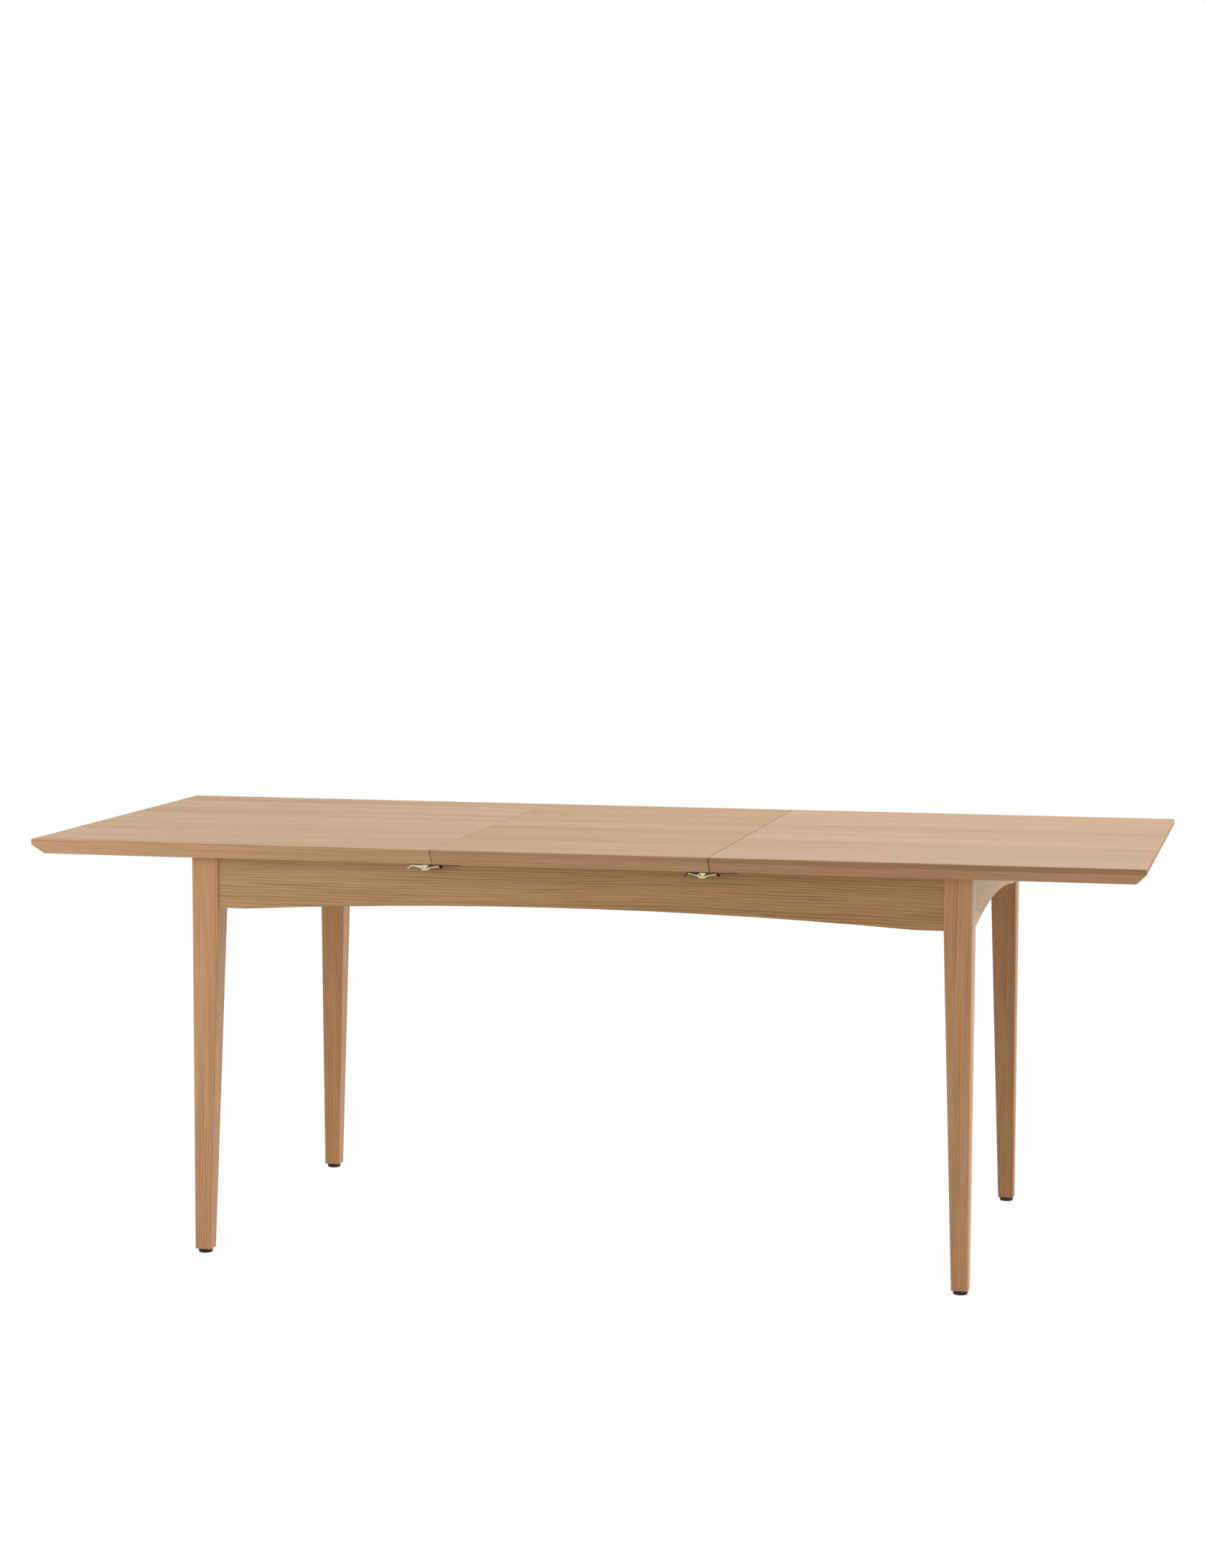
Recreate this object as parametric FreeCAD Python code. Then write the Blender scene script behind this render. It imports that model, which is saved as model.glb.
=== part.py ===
import FreeCAD, Part
import math
import os

# Extending dining table: two sliding end tops, a folding leaf between them and an oak base.
# The origin is on the floor under the middle of the table. +X runs along the table, -Y is its front.

# Top and leaf
TOP_HEIGHT = 755.0
TOP_WIDTH = 880.0
TOP_THICKNESS = 28.0
END_TOP_LENGTH = 750.0
LEAF_LENGTH = 500.0
EDGE_BAND = 10.0
EDGE_BEVEL = 18.0
EDGE_EASE = 1.2
JOINT_GAP = 0.8

# Frame
FRAME_LENGTH = 1410.0
SIDE_OVERHANG = 35.0
LEG_SECTION = 50.0
LEG_FOOT_SECTION = 30.0
LEG_EASE = 2.0
APRON_THICKNESS = 22.0
APRON_DEPTH = 91.4
APRON_SETBACK = 3.0
APRON_RISE = 19.0
APRON_FLAT = 50.0
END_APRON_FLAT = 35.0
SLIDE_GAP = 0.6
HOUSING_DEPTH = 6.0
WOOD_FIT = 0.1

# Feet
FOOT_HEIGHT = 8.0
FOOT_RADIUS = 13.5
FOOT_TAPER = 1.0
FOOT_EASE = 1.5
NAIL_RADIUS = 1.6
NAIL_GRIP = 4.0
NAIL_LENGTH = 26.0

# Corner braces, hanger bolts and nuts
BRACE_THICKNESS = 24.0
BRACE_HEIGHT = 45.0
BRACE_DROP = 15.0
LEG_CORNER_FLAT = 14.0
BOLT_RADIUS = 4.0
BOLT_IN_LEG = 30.0
BOLT_TAIL = 14.0
BOLT_FIT = 0.1
NUT_FLATS = 13.0
NUT_HEIGHT = 8.0
NUT_FLANGE_RADIUS = 9.5
NUT_FLANGE = 2.0

# Fixed rails, cross rails, storage bearers
RAIL_INSET = 111.5
RAIL_WIDTH = 24.0
RAIL_HEIGHT = 36.0
RAIL_DROP = 1.0
GROOVE_HEIGHT = 12.0
GROOVE_DEPTH = 7.5
CROSS_SPACING = 840.0
CROSS_WIDTH = 60.0
CROSS_HEIGHT = 25.0
BEARER_SPACING = 360.0
BEARER_WIDTH = 60.0
BEARER_HEIGHT = 12.0
STOWED_LEAF_ROOM = 3.0

# Runners, bumpers and pads
OVERTRAVEL = 40.0
RUNNER_WIDTH = 24.0
RUNNER_HEIGHT = 36.0
RUNNER_SIDE_GAP = 0.5
RUNNER_TAIL = 60.0
TAIL_RELIEF = 1.0
TONGUE_PLAY = 0.4
BUMPER_LENGTH = 19.5
BUMPER_RADIUS = 8.0
BUMPER_GAP = 0.5
PAD_LENGTH = 20.0
PAD_SPACING = 300.0
PAD_GAP = 0.2

# Leaf hinges and alignment pins
SEAM_GAP = 0.5
HINGE_SPACING = 170.0
BARREL_RADIUS = 6.0
BARREL_DEPTH = 22.0
LINK_WIDTH = 3.0
LINK_REACH = 6.0
LINK_HEIGHT = 6.0
LINK_PLAY = 0.6
LINK_SWEEP = 1.4
PIN_RADIUS = 4.5
PIN_IN_LEAF = 22.0
PIN_REACH = 18.0
PIN_PLAY = 0.3
PIN_SPACING = 220.0

# Latches, measured from the joint they close
LATCH_SHEET = 1.5
LATCH_WIDTH = 14.0
PLATE_START = 3.0
PLATE_LENGTH = 39.0
EAR_LENGTH = 12.0
EAR_SHEET = 1.2
EAR_ROUND = 2.8
PIVOT_BACK = 14.0
PIVOT_DROP = 6.5
PIVOT_RADIUS = 1.5
RIVET_RADIUS = 2.3
RIVET_HEAD = 0.6
PIVOT_FIT = 0.05
LEVER_WIDTH = 7.0
LEVER_BOSS = 3.8
LEVER_LENGTH = 27.0
LEVER_SHEET = 1.8
LEVER_HEADROOM = 0.8
TIP_LENGTH = 7.0
TIP_DROP = 6.7
CREST_ROUND = 3.0
TRUNNION_BACK = 8.0
TRUNNION_RISE = 1.1
TRUNNION_RADIUS = 1.1
STRAP_GAP = 0.3
STRAP_WIDTH = 1.3
STRAP_SHEET = 2.0
STRAP_CLEARANCE = 1.2
TONGUE_SHEET = 1.8
TONGUE_GAP = 1.3
TONGUE_START = -7.0
TONGUE_DROP = 6.0
TONGUE_END = 11.0
LIP_REACH = 5.0
LIP_DROP = 4.4
KEEPER_START = 3.0
KEEPER_LENGTH = 45.0

# Screws: head radius, head height, shank radius, length under the head
WOOD_HEAD = 4.0
WOOD_HEAD_HEIGHT = 2.6
WOOD_SHANK = 2.0
RUNNER_SCREW = 40.0
RUNNER_SCREWS = 3
RUNNER_SCREW_INSET = 35.0
CROSS_SCREW = 34.0
BRACE_SCREW = 32.0
COUNTERBORE_DEPTH = 8.0
SMALL_HEAD = 2.3
SMALL_HEAD_HEIGHT = 0.9
SMALL_SHANK = 1.2
SMALL_SCREW = 12.0
SCREW_POINT = 3.0
SCREW_FIT = 0.1
PLATE_SCREW_INSET = 5.0
PLATE_SCREW_PITCH = 11.0
KEEPER_SCREW_INSET = 3.5
KEEPER_SCREW_PITCH = 14.0

# Places worked out from the dimensions above
UNDERSIDE = TOP_HEIGHT - TOP_THICKNESS
MID_TOP = TOP_HEIGHT - TOP_THICKNESS / 2
HALF_WIDTH = TOP_WIDTH / 2
JOINT_X = LEAF_LENGTH / 2
TABLE_END = JOINT_X + END_TOP_LENGTH
FRAME_TOP = UNDERSIDE - SLIDE_GAP
LEG_X = FRAME_LENGTH / 2
FRAME_WIDTH = TOP_WIDTH - 2 * SIDE_OVERHANG
LEG_Y = FRAME_WIDTH / 2
APRON_BOTTOM = FRAME_TOP - APRON_DEPTH
LONG_APRON_FACE = LEG_Y - APRON_SETBACK
LONG_APRON_INNER = LONG_APRON_FACE - APRON_THICKNESS
END_APRON_FACE = LEG_X - APRON_SETBACK
END_APRON_INNER = END_APRON_FACE - APRON_THICKNESS
RAIL_TOP = UNDERSIDE - RAIL_DROP
RAIL_BOTTOM = RAIL_TOP - RAIL_HEIGHT
RAIL_SPACING = 2 * (LONG_APRON_INNER - RAIL_INSET)
RAIL_Y = RAIL_SPACING / 2
GROOVE_Z = RAIL_BOTTOM + RAIL_HEIGHT / 2
LANE_STEP = (RAIL_WIDTH + RUNNER_WIDTH) / 2 + RUNNER_SIDE_GAP
RUNNER_END = END_APRON_INNER - BUMPER_LENGTH - BUMPER_GAP - OVERTRAVEL
BEARER_TOP = UNDERSIDE - 2 * TOP_THICKNESS - SEAM_GAP - STOWED_LEAF_ROOM
LATCH_Y = (LONG_APRON_FACE + HALF_WIDTH - EDGE_BEVEL) / 2
PIVOT_U = -PIVOT_BACK
PIVOT_W = -PIVOT_DROP

X_AXIS = FreeCAD.Vector(1, 0, 0)
Y_AXIS = FreeCAD.Vector(0, 1, 0)
Z_AXIS = FreeCAD.Vector(0, 0, 1)
SIDES = {"left": -1, "right": 1}
FACES = {"front": -1, "back": 1}
CORNERS = [(face, side) for face in FACES for side in SIDES]
LATCHES = {
    "front_left": (-JOINT_X, -LATCH_Y, False),
    "front_right": (JOINT_X, -LATCH_Y, False),
    "back_left": (-JOINT_X, LATCH_Y, False),
    "back_right": (JOINT_X, LATCH_Y, True),
}


def point(x, y, z):
    return FreeCAD.Vector(x, y, z)


def block(x0, x1, y0, y1, z0, z1):
    return Part.makeBox(x1 - x0, y1 - y0, z1 - z0, point(x0, y0, z0))


def rod(radius, length, start, direction):
    return Part.makeCylinder(radius, length, start, direction)


def join(shapes):
    whole = shapes[0]
    for shape in shapes[1:]:
        whole = whole.fuse(shape)
    return whole.removeSplitter()


def cut(shape, voids):
    for void in voids:
        shape = shape.cut(void)
    return shape


def outline_prism(edges, sweep):
    return Part.Face(Part.Wire(edges)).extrude(sweep)


def polygon_prism(corners, sweep):
    return Part.Face(Part.makePolygon(corners + corners[:1])).extrude(sweep)


def arc(start, middle, end):
    return Part.Arc(start, middle, end).toShape()


def line(start, end):
    return Part.LineSegment(start, end).toShape()


def at_corner(shape, face, side):
    # The corner pieces are drawn once, at the back right corner, and mirrored to the others.
    origin = point(0, 0, 0)
    if SIDES[side] < 0:
        shape = shape.mirror(origin, X_AXIS)
    if FACES[face] < 0:
        shape = shape.mirror(origin, Y_AXIS)
    return shape


def screw(head, direction, head_radius, head_height, shank_radius, length):
    # The head's outer face lies at the given point and the shank runs along the direction.
    cap = rod(head_radius, head_height, head, direction)
    shank = rod(shank_radius, length - SCREW_POINT, head + direction * head_height, direction)
    tip_start = head + direction * (head_height + length - SCREW_POINT)
    tip = Part.makeCone(shank_radius, shank_radius / 4, SCREW_POINT, tip_start, direction)
    return join([cap, shank, tip])


def screw_void(head, direction, head_radius, head_height, shank_radius, length, bore):
    # The bore runs back from the screw's head to the open face.
    room = rod(head_radius + SCREW_FIT, head_height + bore, head - direction * bore, direction)
    hole = rod(shank_radius + SCREW_FIT, length + SCREW_FIT, head + direction * head_height, direction)
    return join([room, hole])


def wood_screw(head, direction, length):
    return screw(head, direction, WOOD_HEAD, WOOD_HEAD_HEIGHT, WOOD_SHANK, length)


def wood_screw_void(head, direction, length, bore):
    return screw_void(head, direction, WOOD_HEAD, WOOD_HEAD_HEIGHT, WOOD_SHANK, length, bore)


def small_screw(head):
    return screw(head, Z_AXIS, SMALL_HEAD, SMALL_HEAD_HEIGHT, SMALL_SHANK, SMALL_SCREW)


def small_screw_void(head):
    return screw_void(head, Z_AXIS, SMALL_HEAD, SMALL_HEAD_HEIGHT, SMALL_SHANK, SMALL_SCREW, LATCH_SHEET)


# Top panels and leaf

def bevelled_section(low, high, bevel_low, bevel_high, place, sweep):
    # A board's end outline: square above the band and bevelled under it on the outer edges.
    foot_low = low + EDGE_BEVEL if bevel_low else low
    foot_high = high - EDGE_BEVEL if bevel_high else high
    band = TOP_HEIGHT - EDGE_BAND
    corners = [(low, TOP_HEIGHT), (high, TOP_HEIGHT)]
    corners += [(high, band)] if bevel_high else []
    corners += [(foot_high, UNDERSIDE), (foot_low, UNDERSIDE)]
    corners += [(low, band)] if bevel_low else []
    return polygon_prism([place(s, z) for s, z in corners], sweep)


def board(x0, x1, y0, y1, bevels):
    left, right, front, back = bevels
    across = bevelled_section(y0, y1, front, back, lambda s, z: point(x0, s, z), X_AXIS * (x1 - x0))
    along = bevelled_section(x0, x1, left, right, lambda s, z: point(s, y0, z), Y_AXIS * (y1 - y0))
    panel = across.common(along).removeSplitter()
    return panel.makeFillet(EDGE_EASE, panel.Edges)


def pin_rows():
    middle = -HALF_WIDTH / 2
    return [middle - PIN_SPACING / 2, middle + PIN_SPACING / 2]


def leaf_pin(side, y, play):
    sign = SIDES[side]
    start = point(sign * (JOINT_X - JOINT_GAP / 2 - PIN_IN_LEAF), y, MID_TOP)
    return rod(PIN_RADIUS + play, PIN_IN_LEAF + JOINT_GAP + PIN_REACH + play, start, X_AXIS * sign)


def end_top(side):
    inner = JOINT_X + JOINT_GAP / 2
    if side == "left":
        panel = board(-TABLE_END, -inner, -HALF_WIDTH, HALF_WIDTH, (True, False, True, True))
    else:
        panel = board(inner, TABLE_END, -HALF_WIDTH, HALF_WIDTH, (False, True, True, True))
    voids = [leaf_pin(side, y, PIN_PLAY) for y in pin_rows()]
    voids += [runner_screw_void(side, face, x) for face in FACES for x in runner_screw_rows(side)]
    voids += [small_screw_void(head) for head in latch_screw_heads(side + "_top")]
    return cut(panel, voids)


def hinge_rows():
    return [-HINGE_SPACING, 0.0, HINGE_SPACING]


def barrel(x, face):
    sign = FACES[face]
    start = point(x, sign * SEAM_GAP / 2, MID_TOP)
    return rod(BARREL_RADIUS, BARREL_DEPTH, start, Y_AXIS * sign)


def front_barrel(x):
    # The link stands out of the front barrel and reaches into the back one.
    half = LINK_HEIGHT / 2
    link = block(x - LINK_WIDTH / 2, x + LINK_WIDTH / 2, -BARREL_DEPTH / 2, LINK_REACH,
                 MID_TOP - half, MID_TOP + half)
    return join([barrel(x, "front"), link])


def back_barrel(x):
    half_width = LINK_WIDTH / 2 + LINK_PLAY
    half = LINK_HEIGHT / 2 + LINK_PLAY
    slot = block(x - half_width, x + half_width, 0, LINK_REACH + LINK_PLAY,
                 MID_TOP - half - LINK_SWEEP, MID_TOP + half)
    return cut(barrel(x, "back"), [slot])


def leaf_half(face):
    end = JOINT_X - JOINT_GAP / 2
    inner = SEAM_GAP / 2
    voids = [barrel(x, face) for x in hinge_rows()]
    if face == "front":
        panel = board(-end, end, -HALF_WIDTH, -inner, (False, False, True, False))
        voids += [leaf_pin(side, y, 0.0) for side in SIDES for y in pin_rows()]
    else:
        panel = board(-end, end, inner, HALF_WIDTH, (False, False, False, True))
    voids += [small_screw_void(head) for head in latch_screw_heads("leaf_" + face)]
    return cut(panel, voids)


# Legs, feet, aprons and corner braces, drawn at the back right corner

def corner_plane_sum():
    # Points on the flat across a leg's inner corner have this sum of x and y.
    return LEG_X + LEG_Y - 2 * LEG_SECTION + LEG_CORNER_FLAT


def brace_level():
    return FRAME_TOP - BRACE_DROP - BRACE_HEIGHT / 2


def bolt_axis():
    # Where the hanger bolt crosses the leg's corner flat, and its direction into the leg.
    step = LEG_CORNER_FLAT / 2
    crossing = point(LEG_X - LEG_SECTION + step, LEG_Y - LEG_SECTION + step, brace_level())
    return crossing, point(1, 1, 0).normalize()


def hanger_bolt(fit):
    crossing, outward = bolt_axis()
    back = BRACE_THICKNESS + BOLT_TAIL
    return rod(BOLT_RADIUS + fit, back + BOLT_IN_LEG + fit, crossing - outward * back, outward)


def hanger_nut():
    crossing, outward = bolt_axis()
    seat = crossing - outward * BRACE_THICKNESS
    flange = rod(NUT_FLANGE_RADIUS, NUT_FLANGE, seat, outward * -1)
    radius = NUT_FLATS / math.sqrt(3)
    turns = [math.radians(60 * step) for step in range(6)]
    sideways = Z_AXIS.cross(outward)
    corners = [seat + sideways * (radius * math.cos(t)) + Z_AXIS * (radius * math.sin(t)) for t in turns]
    body = polygon_prism(corners, outward * -NUT_HEIGHT)
    return cut(join([flange, body]), [hanger_bolt(BOLT_FIT)])


def foot_nail(fit):
    middle = point(LEG_X - LEG_FOOT_SECTION / 2, LEG_Y - LEG_FOOT_SECTION / 2, FOOT_HEIGHT - NAIL_GRIP)
    return rod(NAIL_RADIUS + fit, NAIL_LENGTH + fit, middle, Z_AXIS)


def foot_glide():
    middle = point(LEG_X - LEG_FOOT_SECTION / 2, LEG_Y - LEG_FOOT_SECTION / 2, 0)
    glide = Part.makeCone(FOOT_RADIUS - FOOT_TAPER, FOOT_RADIUS, FOOT_HEIGHT, middle, Z_AXIS)
    rim = [edge for edge in glide.Edges if edge.BoundBox.ZMax < FOOT_EASE]
    return cut(glide.makeFillet(FOOT_EASE, rim), [foot_nail(0.0)])


def leg_ring(size, z):
    # A square section at the leg's outer corner, with its four arrises cut off.
    low_x = LEG_X - size
    low_y = LEG_Y - size
    ease = LEG_EASE
    return [
        point(low_x + ease, low_y, z), point(LEG_X - ease, low_y, z),
        point(LEG_X, low_y + ease, z), point(LEG_X, LEG_Y - ease, z),
        point(LEG_X - ease, LEG_Y, z), point(low_x + ease, LEG_Y, z),
        point(low_x, LEG_Y - ease, z), point(low_x, low_y + ease, z),
    ]


def ringed_solid(rings):
    # A closed solid with flat sides between one ring of corners and the next.
    faces = [Part.Face(Part.makePolygon(ring + ring[:1])) for ring in (rings[0], rings[-1])]
    for low, high in zip(rings, rings[1:]):
        for index in range(len(low)):
            after = (index + 1) % len(low)
            corners = [low[index], low[after], high[after], high[index]]
            faces.append(Part.Face(Part.makePolygon(corners + corners[:1])))
    return Part.makeSolid(Part.makeShell(faces))


def leg():
    whole = ringed_solid([
        leg_ring(LEG_FOOT_SECTION, FOOT_HEIGHT),
        leg_ring(LEG_SECTION, APRON_BOTTOM),
        leg_ring(LEG_SECTION, FRAME_TOP),
    ]).removeSplitter()
    reach = LEG_CORNER_FLAT
    corner = point(LEG_X - LEG_SECTION, LEG_Y - LEG_SECTION, APRON_BOTTOM)
    flat = polygon_prism([corner, corner + X_AXIS * reach, corner + Y_AXIS * reach],
                         Z_AXIS * APRON_DEPTH)
    return cut(whole, [flat, hanger_bolt(BOLT_FIT), foot_nail(0.0)])


def brace_outline():
    outer = corner_plane_sum()
    inner = outer - BRACE_THICKNESS * math.sqrt(2)
    level = brace_level() - BRACE_HEIGHT / 2
    return [
        point(END_APRON_INNER, inner - END_APRON_INNER, level),
        point(END_APRON_INNER, outer - END_APRON_INNER, level),
        point(outer - LONG_APRON_INNER, LONG_APRON_INNER, level),
        point(inner - LONG_APRON_INNER, LONG_APRON_INNER, level),
    ]


def brace_screw_heads():
    # One screw into each apron, set back from the brace's inner face.
    inner = corner_plane_sum() - BRACE_THICKNESS * math.sqrt(2)
    depth = BRACE_SCREW - APRON_THICKNESS / 2
    along_x = END_APRON_INNER - depth
    along_y = LONG_APRON_INNER - depth
    shift = WOOD_HEAD + WOOD_HEAD_HEIGHT
    level = brace_level()
    return [
        (point(along_x, inner - along_x + shift, level), X_AXIS),
        (point(inner - along_y + shift, along_y, level), Y_AXIS),
    ]


def corner_brace():
    body = polygon_prism(brace_outline(), Z_AXIS * BRACE_HEIGHT)
    voids = [wood_screw_void(head, way, BRACE_SCREW, BRACE_THICKNESS) for head, way in brace_screw_heads()]
    return cut(body, voids + [hanger_bolt(BOLT_FIT)])


def arched_board(half_length, flat, place, sweep):
    # A board with an arched lower edge that runs flat for a short way at both ends.
    half_chord = half_length - flat
    corners = [
        place(-half_length, FRAME_TOP),
        place(-half_length, APRON_BOTTOM),
        place(-half_chord, APRON_BOTTOM),
        place(half_chord, APRON_BOTTOM),
        place(half_length, APRON_BOTTOM),
        place(half_length, FRAME_TOP),
    ]
    edges = [
        line(corners[0], corners[1]),
        line(corners[1], corners[2]),
        arc(corners[2], place(0, APRON_BOTTOM + APRON_RISE), corners[3]),
        line(corners[3], corners[4]),
        line(corners[4], corners[5]),
        line(corners[5], corners[0]),
    ]
    return outline_prism(edges, sweep)


def brace_screw_voids():
    voids = []
    for face, side in CORNERS:
        for head, way in brace_screw_heads():
            voids.append(at_corner(wood_screw_void(head, way, BRACE_SCREW, 0.0), face, side))
    return voids


def long_apron(face):
    sign = FACES[face]
    half = LEG_X - LEG_SECTION
    body = arched_board(half, APRON_FLAT, lambda s, z: point(s, sign * LONG_APRON_FACE, z),
                        Y_AXIS * (-sign * APRON_THICKNESS))
    voids = [cross_rail(side, WOOD_FIT) for side in SIDES]
    voids += [storage_bearer(side, WOOD_FIT) for side in SIDES]
    return cut(body, voids + brace_screw_voids())


def end_apron(side):
    sign = SIDES[side]
    half = LEG_Y - LEG_SECTION
    body = arched_board(half, END_APRON_FLAT, lambda s, z: point(sign * END_APRON_FACE, s, z),
                        X_AXIS * (-sign * APRON_THICKNESS))
    voids = [rail_envelope(face, WOOD_FIT) for face in FACES]
    return cut(body, voids + brace_screw_voids())


# Rails, bearers and runners

def rail_envelope(face, fit):
    middle = FACES[face] * RAIL_Y
    half = RAIL_WIDTH / 2 + fit
    end = END_APRON_INNER + HOUSING_DEPTH + fit
    return block(-end, end, middle - half, middle + half, RAIL_BOTTOM - fit, RAIL_TOP + fit)


def fixed_rail(face):
    middle = FACES[face] * RAIL_Y
    web = RAIL_WIDTH / 2 - GROOVE_DEPTH
    end = END_APRON_INNER
    low = GROOVE_Z - GROOVE_HEIGHT / 2
    high = GROOVE_Z + GROOVE_HEIGHT / 2
    grooves = [
        block(-end, end, middle + web, middle + RAIL_WIDTH, low, high),
        block(-end, end, middle - RAIL_WIDTH, middle - web, low, high),
    ]
    screws = [cross_screw_void(face, side) for side in SIDES]
    return cut(rail_envelope(face, 0.0), grooves + screws)


def cross_rail(side, fit):
    middle = SIDES[side] * CROSS_SPACING / 2
    half = CROSS_WIDTH / 2 + fit
    end = LONG_APRON_INNER + HOUSING_DEPTH + fit
    return block(middle - half, middle + half, -end, end, RAIL_BOTTOM - CROSS_HEIGHT - fit, RAIL_BOTTOM + fit)


def drilled_cross_rail(side):
    return cut(cross_rail(side, 0.0), [cross_screw_void(face, side) for face in FACES])


def cross_screw_head(face, side):
    level = RAIL_BOTTOM - CROSS_HEIGHT + COUNTERBORE_DEPTH
    return point(SIDES[side] * CROSS_SPACING / 2, FACES[face] * RAIL_Y, level)


def cross_screw_void(face, side):
    return wood_screw_void(cross_screw_head(face, side), Z_AXIS, CROSS_SCREW, COUNTERBORE_DEPTH)


def storage_bearer(side, fit):
    middle = SIDES[side] * BEARER_SPACING / 2
    half = BEARER_WIDTH / 2 + fit
    end = LONG_APRON_INNER + HOUSING_DEPTH + fit
    return block(middle - half, middle + half, -end, end, BEARER_TOP - BEARER_HEIGHT - fit, BEARER_TOP + fit)


def runner_lane(side, face):
    # The left top's runners lie inside the fixed rails and the right top's outside them.
    return FACES[face] * (RAIL_Y + SIDES[side] * LANE_STEP)


def runner_screw_rows(side):
    first = JOINT_X + RUNNER_SCREW_INSET
    step = (RUNNER_END - RUNNER_SCREW_INSET - first) / (RUNNER_SCREWS - 1)
    return [SIDES[side] * (first + step * index) for index in range(RUNNER_SCREWS)]


def runner_screw_head(side, face, x):
    # The screw stops short of the top's upper face by a quarter of its thickness.
    level = TOP_HEIGHT - TOP_THICKNESS / 4 - RUNNER_SCREW - WOOD_HEAD_HEIGHT
    return point(x, runner_lane(side, face), level)


def runner_screw_void(side, face, x):
    return wood_screw_void(runner_screw_head(side, face, x), Z_AXIS, RUNNER_SCREW, RUNNER_HEIGHT)


def runner(side, face):
    sign = SIDES[side]
    lane = runner_lane(side, face)
    half = RUNNER_WIDTH / 2
    outer = sign * RUNNER_END
    inner = -sign * RUNNER_TAIL
    x0, x1 = sorted((outer, inner))
    bar = block(x0, x1, lane - half, lane + half, UNDERSIDE - RUNNER_HEIGHT, UNDERSIDE)
    step0, step1 = sorted((sign * JOINT_X, inner))
    relief = block(step0, step1, lane - half, lane + half, UNDERSIDE - TAIL_RELIEF, UNDERSIDE)
    toward_rail = -SIDES[side] * FACES[face]
    face_y = lane + toward_rail * half
    y0, y1 = sorted((face_y, face_y + toward_rail * GROOVE_DEPTH))
    depth = GROOVE_HEIGHT / 2 - TONGUE_PLAY
    tongue = block(x0, x1, y0, y1, GROOVE_Z - depth, GROOVE_Z + depth)
    voids = [relief] + [runner_screw_void(side, face, x) for x in runner_screw_rows(side)]
    return cut(join([bar, tongue]), voids)


def bumper(side, face):
    start = point(SIDES[side] * END_APRON_INNER, runner_lane(side, face), GROOVE_Z)
    return rod(BUMPER_RADIUS, BUMPER_LENGTH, start, X_AXIS * -SIDES[side])


def leaf_pad(side, face):
    middle = SIDES[side] * PAD_SPACING / 2
    half = RAIL_WIDTH / 2
    lane = FACES[face] * RAIL_Y
    return block(middle - PAD_LENGTH / 2, middle + PAD_LENGTH / 2, lane - half, lane + half,
                 RAIL_TOP, UNDERSIDE - PAD_GAP)


# Latches, drawn at the joint with the lever on the -X side and the wood's underside at z = 0

def place_latch(shape, name):
    x, y, turned = LATCHES[name]
    moved = shape.copy()
    if turned:
        moved.rotate(point(0, 0, 0), Z_AXIS, 180)
    moved.translate(point(x, y, UNDERSIDE))
    return moved


def side_view(u, w, y):
    return point(u, y, w)


def cross_rod(radius, half, u, w):
    return rod(radius, 2 * half, point(u, -half, w), Y_AXIS)


def plate_screws_u():
    first = -PLATE_START - PLATE_LENGTH + PLATE_SCREW_INSET
    return [first, first + PLATE_SCREW_PITCH]


def keeper_screws_u():
    last = KEEPER_START + KEEPER_LENGTH - KEEPER_SCREW_INSET
    return [last - KEEPER_SCREW_PITCH, last]


def latch_screw_at(u):
    return point(u, 0, -LATCH_SHEET)


def latch_screw_heads(piece):
    # Heads of the small screws in one top or leaf half.
    owners = {
        "left_top": [("front_left", "plate"), ("back_left", "plate")],
        "right_top": [("front_right", "keeper"), ("back_right", "plate")],
        "leaf_front": [("front_left", "keeper"), ("front_right", "plate")],
        "leaf_back": [("back_left", "keeper"), ("back_right", "keeper")],
    }
    heads = []
    for name, part in owners[piece]:
        x, y, turned = LATCHES[name]
        sign = -1 if turned else 1
        rows = plate_screws_u() if part == "plate" else keeper_screws_u()
        heads += [point(x + sign * u, y, UNDERSIDE - LATCH_SHEET) for u in rows]
    return heads


def ear_inner():
    return LATCH_WIDTH / 2 - RIVET_HEAD - EAR_SHEET


def latch_ear(y):
    low = EAR_LENGTH / 2
    corners = [side_view(PIVOT_U - low, -LATCH_SHEET, y), side_view(PIVOT_U - EAR_ROUND, PIVOT_W, y),
               side_view(PIVOT_U, PIVOT_W - EAR_ROUND, y), side_view(PIVOT_U + EAR_ROUND, PIVOT_W, y),
               side_view(PIVOT_U + low, -LATCH_SHEET, y)]
    edges = [line(corners[0], corners[1]), arc(corners[1], corners[2], corners[3]),
             line(corners[3], corners[4]), line(corners[4], corners[0])]
    return outline_prism(edges, Y_AXIS * EAR_SHEET)


def latch_plate():
    half = LATCH_WIDTH / 2
    start = -PLATE_START - PLATE_LENGTH
    sheet = block(start, -PLATE_START, -half, half, -LATCH_SHEET, 0)
    ears = [latch_ear(ear_inner()), latch_ear(-ear_inner() - EAR_SHEET)]
    voids = [small_screw_void(latch_screw_at(u)) for u in plate_screws_u()]
    voids.append(cross_rod(PIVOT_RADIUS, half, PIVOT_U, PIVOT_W))
    return cut(join([sheet] + ears), voids)


def latch_rivet():
    half = LATCH_WIDTH / 2
    body = cross_rod(PIVOT_RADIUS, half, PIVOT_U, PIVOT_W)
    heads = [rod(RIVET_RADIUS, RIVET_HEAD, point(PIVOT_U, y, PIVOT_W), Y_AXIS)
             for y in (-half, half - RIVET_HEAD)]
    return join([body] + heads)


def trunnion_place():
    return PIVOT_U - TRUNNION_BACK, PIVOT_W + TRUNNION_RISE


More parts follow.
